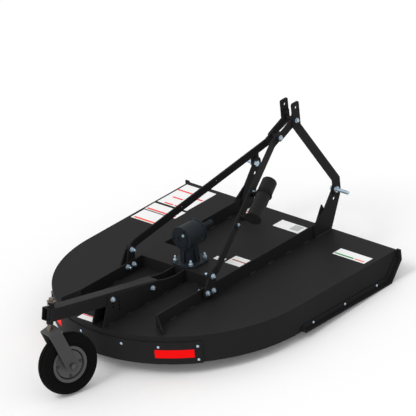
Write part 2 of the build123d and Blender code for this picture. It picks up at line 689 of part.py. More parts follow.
# Lower hitch plates, mast, ears, braces and their brackets
brace_run = Vector(brace_bolt_y - brace_foot_y, brace_bolt_z - brace_foot_z)
brace_span = brace_run.length
brace_along = Vector(0, brace_run.X, brace_run.Y).normalized()
brace_across = brace_along.cross(Vector(1, 0, 0))
brace_start = Vector(0, brace_foot_y, brace_foot_z)
brace_plane = Plane(origin=brace_start, x_dir=brace_along, z_dir=brace_across)
for side, sign in SIDES:

    # Outer hitch plate with the pin's eye and a second hole below it
    with BuildPart() as hitch_plate:
        with BuildSketch(Plane.YZ.offset(sign * rail_outside)):
            Polygon([(deck_front - hitch_foot_behind, 0), (deck_front - hitch_foot_front, 0),
                     (deck_front + hitch_front_ahead, hitch_front_height), (eye_y + hitch_eye_radius, pin_z),
                     (eye_y - hitch_eye_radius, pin_z), (deck_front - hitch_knee_behind, hitch_knee_height),
                     (deck_front - hitch_foot_behind, rail_height)])
            with Locations((eye_y, pin_z)):
                Circle(hitch_eye_radius)
            with Locations((pin_y, pin_z)):
                Circle(pin_radius + pin_fit, mode=Mode.SUBTRACT)
            with Locations((pin_y - second_hole_back, pin_z - second_hole_down)):
                Circle(pin_radius, mode=Mode.SUBTRACT)
        extrude(amount=sign * hitch_plate_thickness)
    keep(hitch_plate, f"hitch_plate_{side}")

    # Inner hitch plate: a pointed stiffener on the rail's inner face
    with BuildPart() as inner_plate:
        with BuildSketch(Plane.YZ.offset(sign * rail_inside)):
            inner_peak = deck_front - inner_peak_behind
            Polygon([(deck_front - inner_foot_behind, 0), (deck_front - inner_foot_front, 0),
                     (inner_peak + inner_peak_width, inner_peak_height - inner_peak_drop),
                     (inner_peak, inner_peak_height),
                     (deck_front - inner_foot_behind + inner_peak_width, rail_height)])
        extrude(amount=-sign * hitch_plate_thickness)
    keep(inner_plate, f"inner_plate_{side}")

    # Hitch pin: a shouldered pin with a nut inside the plate and a cross hole at its tip
    with BuildPart() as hitch_pin:
        with BuildSketch(Plane.YZ.offset(sign * (rail_outside - pin_nut))):
            with Locations((pin_y, pin_z)):
                Circle(pin_radius)
        extrude(amount=sign * (pin_tip - rail_outside + pin_nut))
        with BuildSketch(Plane.YZ.offset(sign * rail_outside)):
            with Locations((pin_y, pin_z)):
                RegularPolygon(pin_nut_radius, 6)
        extrude(amount=-sign * pin_nut)
        with BuildSketch(Plane.YZ.offset(sign * mast_outside)):
            with Locations((pin_y, pin_z)):
                Circle(pin_nut_radius)
        extrude(amount=sign * (pin_shoulder - mast_outside))
        with BuildSketch(Plane(origin=(sign * (pin_tip - 2 * pin_radius), pin_y, pin_z), z_dir=(0, 0, 1))):
            Circle(linch_radius)
        extrude(amount=pin_radius, both=True, mode=Mode.SUBTRACT)
        pin_end = hitch_pin.faces().sort_by(Axis.X, reverse=sign < 0)[-1]
        chamfer(pin_end.edges(), pin_end_chamfer)
    keep(hitch_pin, f"hitch_pin_{side}")

    # Mast bar: a flat bar bent upright at both ends, with the top link's hole in its upper end
    mast_plane = Plane(origin=(0, mast_y - mast_width / 2, 0), x_dir=(1, 0, 0), z_dir=(0, -1, 0))
    mast_path = [(hitch_outside, pin_z - mast_foot_drop), (hitch_outside, pin_z + mast_foot_rise),
                 (ear_spread, mast_bolt_z - mast_bend_drop), (ear_spread, ear_z + ear_top_rise)]
    with BuildPart() as mast_bar:
        with BuildSketch(mast_plane):
            Polygon([(sign * x, z) for x, z in strip(mast_path, -mast_thickness)])
        extrude(amount=-mast_width)
        fillet(mast_bar.edges().filter_by(Axis.X).group_by(Axis.Z)[-1], mast_corner)
        for bolt_y, bolt_z, bolt_radius in ((pin_y, pin_z, pin_radius + pin_fit),
                                            (mast_y, mast_bolt_z, cross_bolt_radius),
                                            (ear_y, ear_z, ear_hole_radius)):
            with BuildSketch(Plane.YZ):
                with Locations((bolt_y, bolt_z)):
                    Circle(bolt_radius)
            extrude(amount=sign * 2 * mast_outside, mode=Mode.SUBTRACT)
    keep(mast_bar, f"mast_bar_{side}")

    # Ear: a plate inside the mast bar that reaches back to the brace's bolt
    with BuildPart() as ear:
        with BuildSketch(Plane.YZ.offset(sign * ear_inside)):
            with Locations((mast_y, mast_bolt_z), (brace_bolt_y, brace_bolt_z)):
                Circle(ear_radius)
            make_hull()
            with Locations((mast_y, mast_bolt_z + ear_rise / 2)):
                Rectangle(2 * ear_radius, ear_rise)
            with Locations((mast_y, mast_bolt_z), (brace_bolt_y, brace_bolt_z)):
                Circle(cross_bolt_radius, mode=Mode.SUBTRACT)
        extrude(amount=sign * ear_thickness)
    keep(ear, f"ear_{side}")

    # Brace: a flat bar from the ear's lower end back to the rail, with both ends bent parallel
    brace_path = [(-brace_width / 2, bracket_outside), (brace_tab, bracket_outside),
                  (brace_span - brace_tab, brace_inside), (brace_span + brace_width / 2, brace_inside)]
    slope_start = brace_start + brace_along * brace_tab + Vector(sign * bracket_outside, 0, 0)
    slope_end = brace_start + brace_along * (brace_span - brace_tab) + Vector(sign * brace_inside, 0, 0)
    slope_along = (slope_end - slope_start).normalized()
    slope_out = slope_along.cross(brace_across) * -sign
    with BuildPart() as brace:
        with BuildSketch(brace_plane):
            Polygon([(s, sign * x * brace_plane.y_dir.X) for s, x in strip(brace_path, brace_thickness)])
        extrude(amount=brace_width / 2, both=True)
        for bolt_y, bolt_z in ((brace_foot_y, brace_foot_z), (brace_bolt_y, brace_bolt_z)):
            with BuildSketch(Plane.YZ):
                with Locations((bolt_y, bolt_z)):
                    Circle(cross_bolt_radius)
            extrude(amount=sign * 2 * bracket_outside, mode=Mode.SUBTRACT)
        for hole_run in (brace_hole_low, brace_hole_high):
            hole_centre = slope_start + slope_along * (hole_run - brace_tab)
            with BuildSketch(Plane(origin=hole_centre, z_dir=slope_out)):
                Circle(brace_hole_radius)
            extrude(amount=2 * brace_thickness, both=True, mode=Mode.SUBTRACT)
    keep(brace, f"brace_{side}")

    # Brace bracket: an upright plate bolted to the rail's outer face
    with BuildPart() as brace_bracket:
        with BuildSketch(Plane.YZ.offset(sign * rail_outside)):
            Polygon([(brace_foot_y - bracket_half_length - bracket_rake, bracket_foot_z),
                     (brace_foot_y + bracket_half_length - bracket_rake, bracket_foot_z),
                     (brace_foot_y + bracket_top_radius, brace_foot_z),
                     (brace_foot_y - bracket_top_radius, brace_foot_z)])
            with Locations((brace_foot_y, brace_foot_z)):
                Circle(bracket_top_radius)
                Circle(cross_bolt_radius, mode=Mode.SUBTRACT)
        extrude(amount=sign * bracket_thickness)
    keep(brace_bracket, f"brace_bracket_{side}")

# Spacers between the two ears and between the two braces
for name, half_length, bolt_y, bolt_z in (("mast_spacer", ear_inside, mast_y, mast_bolt_z),
                                          ("brace_spacer", brace_inside, brace_bolt_y, brace_bolt_z)):
    with BuildPart() as spacer:
        with BuildSketch(Plane.YZ.offset(-half_length)):
            with Locations((bolt_y, bolt_z)):
                Circle(spacer_radius)
                Circle(cross_bolt_radius, mode=Mode.SUBTRACT)
        extrude(amount=2 * half_length)
    keep(spacer, name)

# Manual tube beside the right brace; the slope's values are those of the right brace, made last
tube_offset = brace_thickness + tube_stand + tube_cap_radius
tube_origin = slope_start + slope_along * (tube_start - brace_tab) + slope_out * tube_offset
tube_plane = Plane(origin=tube_origin, x_dir=slope_out, z_dir=slope_along)
with BuildPart() as manual_tube:
    with BuildSketch(tube_plane):
        Circle(tube_radius)
    extrude(amount=tube_length)
keep(manual_tube, "manual_tube")

with BuildPart() as tube_cap:
    with BuildSketch(tube_plane.offset(tube_length - tube_cap_length)):
        Circle(tube_cap_radius)
    extrude(amount=tube_cap_length + tube_cap_wall)
    fillet(tube_cap.faces().sort_by(Axis(tube_plane.origin, tube_plane.z_dir))[-1].edges(), tube_cap_rounding)
    with BuildSketch(tube_plane.offset(tube_length - tube_cap_length)):
        Circle(tube_radius + curved_gap)
    extrude(amount=tube_cap_length, mode=Mode.SUBTRACT)
keep(tube_cap, "tube_cap")

# Tube bracket: a strip along the brace with a plate under the tube and a collar round it
with BuildPart() as tube_clip:
    strip_origin = tube_origin - slope_out * (tube_offset - brace_thickness)
    with BuildSketch(Plane(origin=strip_origin, x_dir=slope_along, z_dir=slope_out)):
        with Locations(((clip_upper + clip_above - clip_below) / 2, 0)):
            Rectangle(clip_upper + clip_above + clip_below, clip_width)
        with Locations((-clip_bolt_low, 0), (clip_upper + clip_bolt_high, 0)):
            Circle(brace_hole_radius, mode=Mode.SUBTRACT)
    extrude(amount=clip_thickness)
    web_reach = tube_offset - brace_thickness
    for web_along, hollow in ((-clip_thickness, False), (clip_upper, True)):
        with BuildSketch(tube_plane.offset(web_along)):
            Circle(tube_radius + clip_collar)
            with Locations((-web_reach / 2, 0)):
                Rectangle(web_reach, clip_width)
            if hollow:
                Circle(tube_radius + curved_gap, mode=Mode.SUBTRACT)
        extrude(amount=clip_thickness)
keep(tube_clip, "tube_clip")

# Parked stance: the floor touches the skids' front corners and the tyre
to_wheel = Vector(side_chamfer_foot - wheel_centre.Y, wheel_centre.Z - skid_bottom)
parked_tilt = degrees(asin(tyre_radius / hypot(to_wheel.X, to_wheel.Y)) - atan2(to_wheel.Y, to_wheel.X))
leaned = [piece.moved(Location((0, 0, 0), (-parked_tilt, 0, 0))) for piece in pieces]
boxes = [piece.bounding_box() for piece in leaned]
middle_y = (min(box.min.Y for box in boxes) + max(box.max.Y for box in boxes)) / 2
floor_z = min(box.min.Z for box in boxes)
parked = Location((0, -middle_y, -floor_z), (-parked_tilt, 0, 0))

os.makedirs("parts", exist_ok=True)
for piece in pieces:
    standing = piece.moved(parked)
    standing.label = piece.label
    export_step(standing, f"parts/{piece.label}.step")
print(f"{len(pieces)} pieces, tilt {parked_tilt:.3f} degrees, shift {-middle_y:.3f}, {-floor_z:.3f} mm")
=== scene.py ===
import json
import math

import bmesh
import bpy
from mathutils import Matrix, Vector


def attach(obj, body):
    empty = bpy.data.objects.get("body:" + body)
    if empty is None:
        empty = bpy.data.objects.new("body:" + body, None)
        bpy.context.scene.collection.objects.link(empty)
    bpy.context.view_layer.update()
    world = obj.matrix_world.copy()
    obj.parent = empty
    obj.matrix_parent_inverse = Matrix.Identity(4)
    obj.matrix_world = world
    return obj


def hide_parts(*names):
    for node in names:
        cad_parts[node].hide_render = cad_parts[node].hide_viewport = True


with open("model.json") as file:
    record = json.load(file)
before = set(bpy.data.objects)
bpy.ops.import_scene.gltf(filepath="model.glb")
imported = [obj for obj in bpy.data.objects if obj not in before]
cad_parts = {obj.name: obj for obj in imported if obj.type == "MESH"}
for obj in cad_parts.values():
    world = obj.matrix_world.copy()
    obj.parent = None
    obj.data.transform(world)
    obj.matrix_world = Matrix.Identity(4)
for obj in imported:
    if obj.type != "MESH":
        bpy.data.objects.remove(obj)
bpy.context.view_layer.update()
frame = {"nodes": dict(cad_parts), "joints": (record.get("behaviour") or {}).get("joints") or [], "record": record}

nodes = frame["nodes"]
joints = {joint["name"]: joint for joint in frame["joints"]}

# Signs of the left and the right side along X
SIDES = (-1, 1)

# Deck frame in metres: origin on the rotor's axis at the deck's top face, X right, Y forwards, Z up
rotor_depth = 0.084
deck_up = Vector(joints["rotor_spin"]["axis"])
deck_right = Vector((1, 0, 0))
deck_forward = deck_up.cross(deck_right)
deck_origin = Vector(joints["rotor_spin"]["pos_m"]) + deck_up * rotor_depth
deck_matrix = Matrix((deck_right, deck_forward, deck_up)).transposed().to_4x4()
deck_matrix.translation = deck_origin

# Sizes of the machine that the trim follows, in the deck frame
rail_inside = 0.300
rail_outside = 0.310
bracket_outside = 0.320
brace_thickness = 0.010
plate_thickness = 0.008
skirt_radius = 0.830
band_outside = 0.8365
plate_outside = 0.0465
plate_inside = 0.0385
gearbox_top_face = 0.090
gearbox_axis_height = 0.249
blade_bar_top = -0.084
jumper_under = -0.127
blade_pivot = 0.250
side_outside = 0.830
side_thickness = 0.006
skid_leg_thickness = 0.006
hitch_outside = 0.320
hitch_inside = 0.290
platform_half = 0.100


def deck_point(x, y, z):
    """Place in the row frame of a point given in the deck frame."""
    return deck_matrix @ Vector((x, y, z))


def stand(origin, axis, turn=0.0):
    """Matrix whose Z runs along the axis from the origin, turned about it."""
    upright = Vector(axis).to_track_quat("Z", "Y").to_matrix().to_4x4()
    return Matrix.Translation(origin) @ upright @ Matrix.Rotation(turn, 4, "Z")


def toward(origin, axis, turn=0.0):
    """The same for an origin and an axis given in the deck frame; the matrix is in the row frame."""
    return deck_matrix @ stand(origin, axis, turn)


# What all finishes share: how mottle and grain break up, where dust settles and how far the roughness strays
mottle_detail = 8.0
mottle_breakup = 0.65
grain_detail = 3.0
relief_strength = 0.5
dust_colour = (0.30, 0.28, 0.25, 1)
dust_begins = 0.4
rough_spread = 0.07
least_rough = 0.02


def material(name, colour, rough, metal=0.0, specular=0.5, mottle=0.15, mottle_scale=4.0, grain=900.0,
             grain_depth=0.00006, dust=0.0):
    """Painted, plated or moulded finish: mottled colour, uneven roughness, fine grain and settled dust."""
    made = bpy.data.materials.new(name)
    made.use_nodes = True
    tree = made.node_tree
    shader = tree.nodes["Principled BSDF"]
    shader.inputs["Metallic"].default_value = metal
    shader.inputs["Specular IOR Level"].default_value = specular
    place = tree.nodes.new("ShaderNodeTexCoord")

    cloud = tree.nodes.new("ShaderNodeTexNoise")
    cloud.inputs["Scale"].default_value = mottle_scale
    cloud.inputs["Detail"].default_value = mottle_detail
    cloud.inputs["Roughness"].default_value = mottle_breakup
    tree.links.new(place.outputs["Object"], cloud.inputs["Vector"])
    tone = tree.nodes.new("ShaderNodeMix")
    tone.data_type = "RGBA"
    tone.inputs["A"].default_value = (*[c * (1 - mottle) for c in colour], 1)
    tone.inputs["B"].default_value = (*[min(1, c * (1 + mottle)) for c in colour], 1)
    tree.links.new(cloud.outputs["Fac"], tone.inputs["Factor"])

    facing = tree.nodes.new("ShaderNodeNewGeometry")
    split_normal = tree.nodes.new("ShaderNodeSeparateXYZ")
    tree.links.new(facing.outputs["Normal"], split_normal.inputs["Vector"])
    settled = tree.nodes.new("ShaderNodeMapRange")
    settled.inputs["From Min"].default_value = dust_begins
    settled.inputs["To Max"].default_value = dust
    tree.links.new(split_normal.outputs["Z"], settled.inputs["Value"])
    patchy = tree.nodes.new("ShaderNodeMath")
    patchy.operation = "MULTIPLY"
    tree.links.new(settled.outputs["Result"], patchy.inputs[0])
    tree.links.new(cloud.outputs["Fac"], patchy.inputs[1])
    dusty = tree.nodes.new("ShaderNodeMix")
    dusty.data_type = "RGBA"
    dusty.inputs["B"].default_value = dust_colour
    tree.links.new(patchy.outputs["Value"], dusty.inputs["Factor"])
    tree.links.new(tone.outputs["Result"], dusty.inputs["A"])
    tree.links.new(dusty.outputs["Result"], shader.inputs["Base Color"])

    fine = tree.nodes.new("ShaderNodeTexNoise")
    fine.inputs["Scale"].default_value = grain
    fine.inputs["Detail"].default_value = grain_detail
    tree.links.new(place.outputs["Object"], fine.inputs["Vector"])
    matt = tree.nodes.new("ShaderNodeMapRange")
    matt.inputs["To Min"].default_value = max(least_rough, rough - rough_spread)
    matt.inputs["To Max"].default_value = min(1.0, rough + rough_spread)
    tree.links.new(cloud.outputs["Fac"], matt.inputs["Value"])
    tree.links.new(matt.outputs["Result"], shader.inputs["Roughness"])
    relief = tree.nodes.new("ShaderNodeBump")
    relief.inputs["Strength"].default_value = relief_strength
    relief.inputs["Distance"].default_value = grain_depth
    tree.links.new(fine.outputs["Fac"], relief.inputs["Height"])
    tree.links.new(relief.outputs["Normal"], shader.inputs["Normal"])
    return made


label_rough = 0.45
label_specular = 0.3


def printed(name, colour, mottle=0.05):
    """Finish of a label's sheet, or of a stripe printed on it."""
    return material(name, colour, label_rough, specular=label_specular, mottle=mottle)


# Finishes by slot: colour and roughness, and what else differs from plain paint
finishes = {
    "black_paint": material("black_powder_coat", (0.018, 0.0175, 0.0185), 0.45, specular=0.03, dust=0.008),
    "gearbox_paint": material("painted_casting", (0.015, 0.0195, 0.0245), 0.5, specular=0.10, grain=260.0,
                              grain_depth=0.0006, dust=0.02),
    "zinc_steel": material("zinc_plate", (0.45, 0.56, 0.645), 0.5, metal=0.9, grain=500.0),
    "bare_steel": material("machined_steel", (0.16, 0.135, 0.11), 0.36, metal=1.0, grain=400.0),
    "grey_paint": material("grey_paint", (0.056, 0.056, 0.056), 0.45, specular=0.2, dust=0.02),
    "black_plastic": material("black_plastic", (0.010, 0.0095, 0.010), 0.55, specular=0.12, grain=1500.0),
    "worn_steel": material("worn_steel", (0.12, 0.115, 0.11), 0.45, metal=0.8, mottle=0.5, mottle_scale=14.0),
    "tyre": material("tyre_rubber", (0.0035, 0.0035, 0.0035), 0.8, specular=0.06, grain=700.0, dust=0.004),
}
weld_finish = material("painted_weld", (0.009, 0.009, 0.0095), 0.4, specular=0.12, grain=300.0,
                       grain_depth=0.0004)
label_white = printed("label_white", (0.96, 0.96, 0.955), mottle=0.01)
label_red = printed("label_red", (0.92, 0.06, 0.06))
label_orange = printed("label_orange", (0.92, 0.10, 0.03))
label_green = printed("label_green", (0.03, 0.30, 0.08))
label_brown = printed("label_brown", (0.42, 0.12, 0.07))
label_grey = printed("label_grey", (0.55, 0.56, 0.56))
# Near-black finish of the setting holes' sleeves and rims: painted shade for the dark hollow inside the holes
hole_shade_finish = material("painted_hole_shade", (0.002, 0.002, 0.002), 0.7, specular=0.02)
reflector_red = material("reflector_red", (1.0, 0.003, 0.003), 0.45, specular=0.06, mottle=0.03, grain=120.0,
                         grain_depth=0.0012)
rim_finish = material("rim_paint", (0.075, 0.075, 0.075), 0.42, specular=0.3, dust=0.02)
axle_finish = material("oiled_steel", (0.085, 0.083, 0.080), 0.4, metal=0.8, grain=400.0)

# The solids of the machine take the finish of their slot, but the rim and the axle have one of their own
special = {"wheel_rim": rim_finish, "axle": axle_finish}
slot_of = {part["node"]: part["material_slot"] for part in frame["record"]["subparts"]}
for name, piece in nodes.items():
    piece.data.materials.clear()
    piece.data.materials.append(special.get(name, finishes[slot_of[name]]))


def finish_mesh(builder, name, finish, body):
    """Turn a bmesh into a piece that rides on a body and takes its finish."""
    mesh = bpy.data.meshes.new(name)
    builder.normal_update()
    builder.to_mesh(mesh)
    builder.free()
    piece = bpy.data.objects.new(name, mesh)
    bpy.context.scene.collection.objects.link(piece)
    mesh.materials.append(finish)
    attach(piece, body)
    return piece


def slotted(builder, name, slot_name, body="frame"):
    """Turn a bmesh into a piece that takes the finish of its slot."""
    return finish_mesh(builder, name, finishes[slot_name], body)


# Turned shapes with no more sides than this keep flat faces
flat_sided = 8


def turned(builder, matrix, profile, steps=24, closed=True):
    """Add a solid of revolution about the matrix's Z; the profile holds radius and height pairs."""
    rings = []
    for radius, height in profile:
        ring = []
        for step in range(steps):
            angle = 2 * math.pi * step / steps
            place = Vector((radius * math.cos(angle), radius * math.sin(angle), height))
            ring.append(builder.verts.new(matrix @ place))
        rings.append(ring)
    for low, high in zip(rings, rings[1:]):
        for step in range(steps):
            after = (step + 1) % steps
            face = builder.faces.new((low[step], low[after], high[after], high[step]))
            face.smooth = steps > flat_sided
    if closed:
        builder.faces.new(rings[0][::-1])
        builder.faces.new(rings[-1])


# Bolts and nuts as shares of the thread's diameter; the recessed rim of a head holds radius and height pairs
across_share = 1.5
flange_radius = 1.05
flange_thickness = 0.14
head_thickness = 0.62
head_rim = ((0.64, 0.75), (0.58, 0.92), (0.40, 0.92), (0.32, 0.77))
washer_thickness = 0.16
nut_thickness = 0.8
thread_radius = 0.48
thread_foot = 0.9
thread_chamfer = 0.1
thread_tip = 0.4
dome_rise = 0.55
dome_angles = (0.0, 0.3, 0.6, 0.9, 1.2, 1.45)

# How far a hexagon's outer corners are eased, as a share of its width across the flats
corner_ease = 0.08


def hexagon(builder, matrix, across_flats, thickness, start=0.0):
    """Add a hexagonal head or nut with its corners eased at the outer end."""
    corner = across_flats / math.sqrt(3)
    ease = across_flats * corner_ease
    turned(builder, matrix, [(corner, start), (corner, start + thickness - ease),
                             (corner - ease, start + thickness)], steps=6)


def washer(builder, matrix, radius, thickness):
    """Add a flat washer, or the flange of a flanged bolt."""
    turned(builder, matrix, [(radius, 0.0), (radius, thickness)])


def hex_bolt(builder, matrix, size):
    """Add a flanged hexagon head as seen from outside; size is the thread's diameter."""
    washer(builder, matrix, size * flange_radius, size * flange_thickness)
    hexagon(builder, matrix, size * across_share, size * head_thickness, size * flange_thickness)
    turned(builder, matrix, [(size * radius, size * height) for radius, height in head_rim])


def hex_nut(builder, matrix, size, tail):
    """Add a washer, a nut and the thread's end that stands out of it by tail diameters."""
    washer(builder, matrix, size * flange_radius, size * washer_thickness)
    hexagon(builder, matrix, size * across_share, size * nut_thickness, size * washer_thickness)
    end = size * (washer_thickness + nut_thickness + tail)
    turned(builder, matrix, [(size * thread_radius, size * thread_foot),
                             (size * thread_radius, end - size * thread_chamfer), (size * thread_tip, end)])


def dome_bolt(builder, matrix, size):
    """Add a carriage bolt's domed head."""
    turned(builder, matrix, [(size * math.cos(a), size * dome_rise * math.sin(a)) for a in dome_angles])


def cross_bolt(builder, reach, y, z, size, shank, head_turn, nut_turn, tail):
    """Add a bolt across the machine's middle: head on the right, nut on the left and the shank between."""
    hex_bolt(builder, toward((reach, y, z), (1, 0, 0), head_turn), size)
    hex_nut(builder, toward((-reach, y, z), (-1, 0, 0), nut_turn), size, tail)
    turned(builder, toward((-reach, y, z), (1, 0, 0)), [(shank, 0), (shank, 2 * reach)])


# Gearbox studs with nuts on the base plate; the profile holds radius and height pairs
stud_square = 0.0615
stud_turn = 0.3
stud_nut_flats = 0.024
stud_nut_thickness = 0.014
stud_profile = ((0.0095, 0.013), (0.0085, 0.018), (0.0068, 0.022), (0.0068, 0.031), (0.0048, 0.035))
studs = bmesh.new()
for x_sign in SIDES:
    for y_sign in (-1, 1):
        place = (x_sign * stud_square, y_sign * stud_square, gearbox_top_face)
        matrix = toward(place, (0, 0, 1), stud_turn * x_sign * y_sign)
        hexagon(studs, matrix, stud_nut_flats, stud_nut_thickness)
        turned(studs, matrix, stud_profile)
slotted(studs, "gearbox_studs", "zinc_steel")

# Tail arm bolts through both tail plates: Y, Z and the shank's radius
frame_bolt = 0.016
tail_bolts = bmesh.new()
for y, z, shank in ((-0.385, 0.077, 0.0078), (-0.727, 0.1484, 0.0048)):
    cross_bolt(tail_bolts, plate_outside, y, z, frame_bolt, shank, head_turn=0.2, nut_turn=0.5, tail=0.3)
slotted(tail_bolts, "tail_bolts", "zinc_steel")

# Brace bracket bolts on both rails, through the bracket's outer plate: Y, Z and the nut's tail
bracket_places = ((-0.227, 0.054, 1.0), (-0.175, 0.051, 0.5))
brace_foot = (-0.169, 0.142)
foot_tail = 1.0
head_face = bracket_outside + brace_thickness + plate_thickness
bracket_bolts = bmesh.new()
for sign in SIDES:
    outward, inward = (sign, 0, 0), (-sign, 0, 0)
    for y, z, tail in bracket_places:
        hex_bolt(bracket_bolts, toward((sign * head_face, y, z), outward, turn=0.4), frame_bolt)
        hex_nut(bracket_bolts, toward((sign * rail_inside, y, z), inward, turn=0.1), frame_bolt, tail)
    y, z = brace_foot
    hex_bolt(bracket_bolts, toward((sign * head_face, y, z), outward), frame_bolt)
    hex_nut(bracket_bolts, toward((sign * rail_outside, y, z), inward, turn=0.3), frame_bolt, foot_tail)
slotted(bracket_bolts, "bracket_bolts", "zinc_steel")


def flat_plate(builder, outline, near, far):
    """Add an upright plate between two distances from the deck's middle; the outline holds Y and Z pairs."""
    faces = [[builder.verts.new(deck_point(x, y, z)) for y, z in outline] for x in (near, far)]
    builder.faces.new(faces[0][::-1])
    builder.faces.new(faces[1])
    for index in range(len(outline)):
        after = (index + 1) % len(outline)
        builder.faces.new((faces[0][index], faces[0][after], faces[1][after], faces[1][index]))


# Outer plates of the brace brackets, round about their three bolts, and the spacers behind them; each corner
# has its bolt's Y and Z, and the angles in degrees between which the edge bends round it
corner_radius = 0.027
corner_steps = 8
spacer_radius = 0.012
plate_corners = ((*brace_foot, -4, 147), (*bracket_places[0][:2], 147, 267),
                 (*bracket_places[1][:2], 267, 356))
plate_outline = []
for y, z, first, last in plate_corners:
    for step in range(corner_steps + 1):
        angle = math.radians(first + (last - first) * step / corner_steps)
        plate_outline.append((y + corner_radius * math.cos(angle), z + corner_radius * math.sin(angle)))
bracket_plates = bmesh.new()
for sign in SIDES:
    flat_plate(bracket_plates, plate_outline, sign * (bracket_outside + brace_thickness), sign * head_face)
    for y, z, _ in bracket_places:
        turned(bracket_plates, toward((sign * bracket_outside, y, z), (sign, 0, 0)),
               [(spacer_radius, 0), (spacer_radius, brace_thickness)])
bmesh.ops.recalc_face_normals(bracket_plates, faces=bracket_plates.faces)
slotted(bracket_plates, "bracket_plates", "black_paint")

# Near-black sleeves and rims in the open setting holes of the tail plates, painted shade for the dark hollow
# seen through the holes; a column of them has its Y, the Z of its top hole and the number of holes
setting_radius = 0.0049
setting_wall = 0.0004
setting_rim = 0.0066
setting_pitch = 0.024
setting_columns = ((-0.675, 0.1136, 3), (-0.727, 0.1244, 2))
setting_bore = setting_radius - setting_wall
setting_depth = plate_outside - plate_inside
rim_height = setting_depth + setting_wall
wall_profile = ((setting_bore, 0), (setting_radius, 0), (setting_radius, setting_depth),
                (setting_rim, setting_depth), (setting_rim, rim_height), (setting_bore, rim_height),
                (setting_bore, 0))
hole_walls = bmesh.new()
for sign in SIDES:
    for y, top, count in setting_columns:
        for row in range(count):
            matrix = toward((sign * plate_inside, y, top - row * setting_pitch), (sign, 0, 0))
            turned(hole_walls, matrix, wall_profile, closed=False)
bmesh.ops.recalc_face_normals(hole_walls, faces=hole_walls.faces)
finish_mesh(hole_walls, "setting_hole_shade", hole_shade_finish, "frame")

# Cross bolts at the mast's top and at the braces' top: half the width that they clamp, Y and Z
mast_bolt = 0.0145
mast_shank = 0.0088
mast_bolts = bmesh.new()
for reach, y, z in ((0.049, 0.957, 0.618), (0.039, 0.815, 0.560)):
    cross_bolt(mast_bolts, reach, y, z, mast_bolt, mast_shank, head_turn=0.3, nut_turn=0.1, tail=0.4)
slotted(mast_bolts, "mast_bolts", "zinc_steel")

# Bolts that hold the manual tube's bracket to the right brace, square to the brace's slope
brace_out = Vector((0.9533, 0.2782, 0.1182))
clip_depth = 0.016
clip_bolt = 0.010
clip_shank = 0.0048
clip_bolts = bmesh.new()
for place in ((0.2301, 0.1960, 0.2971), (0.1503, 0.4277, 0.3954)):
    hex_bolt(clip_bolts, toward(place, brace_out, turn=0.2), clip_bolt)
    behind = Vector(place) - brace_out * clip_depth
    hex_nut(clip_bolts, toward(behind, -brace_out), clip_bolt, tail=0.4)
    turned(clip_bolts, toward(behind, brace_out), [(clip_shank, 0), (clip_shank, clip_depth)])
slotted(clip_bolts, "clip_bolts", "zinc_steel")

# Gearbox cover screws on the three lugs of each cover, and the level plug; a cover has the Y of its face and
# the way it looks, a lug its X and its rise above the gearbox's axis
cover_faces = ((-0.064, -1), (0.090, 1))
cover_lugs = ((0.034, -0.049), (-0.060, -0.005), (0.025, 0.054))
screw_turn = 0.4
screw_washer_radius = 0.0085
screw_washer_thickness = 0.0012
screw_flats = 0.012
screw_thickness = 0.005
cover_screws = bmesh.new()
for face_y, sign in cover_faces:
    for x, rise in cover_lugs:
        matrix = toward((x, face_y, gearbox_axis_height + rise), (0, sign, 0), screw_turn * x)
        washer(cover_screws, matrix, screw_washer_radius, screw_washer_thickness)
        hexagon(cover_screws, matrix, screw_flats, screw_thickness, screw_washer_thickness)
slotted(cover_screws, "cover_screws", "black_paint")
plug_place = (0.024, cover_faces[0][0], 0.278)
plug_washer_radius = 0.0095
plug_washer_thickness = 0.0015
plug_flats = 0.014
plug_thickness = 0.007
rearward = (0, -1, 0)
level_plug = bmesh.new()
washer(level_plug, toward(plug_place, rearward), plug_washer_radius, plug_washer_thickness)
plug_head = toward(plug_place, rearward, turn=0.5)
hexagon(level_plug, plug_head, plug_flats, plug_thickness, plug_washer_thickness)
slotted(level_plug, "level_plug", "zinc_steel")

# Rotor: nuts of the blade bolts above the bar, the bolts' domed ends and the shaft's nut under the dish
blade_bolt = 0.024
blade_dome = 0.020
shaft_washer_radius = 0.034
shaft_washer_thickness = 0.005
shaft_nut_flats = 0.046
shaft_nut_thickness = 0.022
rotor_nuts = bmesh.new()
for sign in SIDES:
    nut_seat = toward((sign * blade_pivot, 0, blade_bar_top), (0, 0, 1), turn=0.3)
    hex_nut(rotor_nuts, nut_seat, blade_bolt, tail=0.35)
    dome_bolt(rotor_nuts, toward((sign * blade_pivot, 0, jumper_under), (0, 0, -1)), blade_dome)
shaft_end = toward((0, 0, jumper_under), (0, 0, -1))
washer(rotor_nuts, shaft_end, shaft_washer_radius, shaft_washer_thickness)
hexagon(rotor_nuts, shaft_end, shaft_nut_flats, shaft_nut_thickness, shaft_washer_thickness)
slotted(rotor_nuts, "rotor_nuts", "zinc_steel", "rotor")

# Wheel rim: a disc on the hub, a deep groove round it and a broad rounded flange at each bead. Its section
# runs from the bore over the disc's outer face and round to the back, in pairs of radius and place on the axle
wheel_centre = Vector(joints["wheel_spin"]["pos_m"])
wheel_axis = Vector(joints["wheel_spin"]["axis"])
hub_bore = 0.01205
hub_radius = 0.030
hub_half = 0.045
disc_face = 0.022
disc_thickness = 0.005
disc_back = disc_face - disc_thickness
rim_hub = ((hub_bore, -hub_half), (hub_bore, hub_half), (hub_radius, hub_half), (hub_radius, disc_face))
rim_front = ((0.0860, disc_face), (0.0865, 0.0200), (0.0875, -0.0100), (0.0915, -0.0100), (0.0925, 0.0260),
             (0.0940, 0.0305), (0.0975, 0.0325), (0.1070, 0.0325), (0.1115, 0.0315), (0.1130, 0.0300))
rim_well = ((0.1085, 0.0290), (0.1060, 0.0200), (0.1060, -0.0200), (0.1085, -0.0290), (0.1130, -0.0300),
            (0.1115, -0.0315), (0.1070, -0.0325), (0.0975, -0.0325), (0.0925, -0.0260), (0.0925, -0.0145))
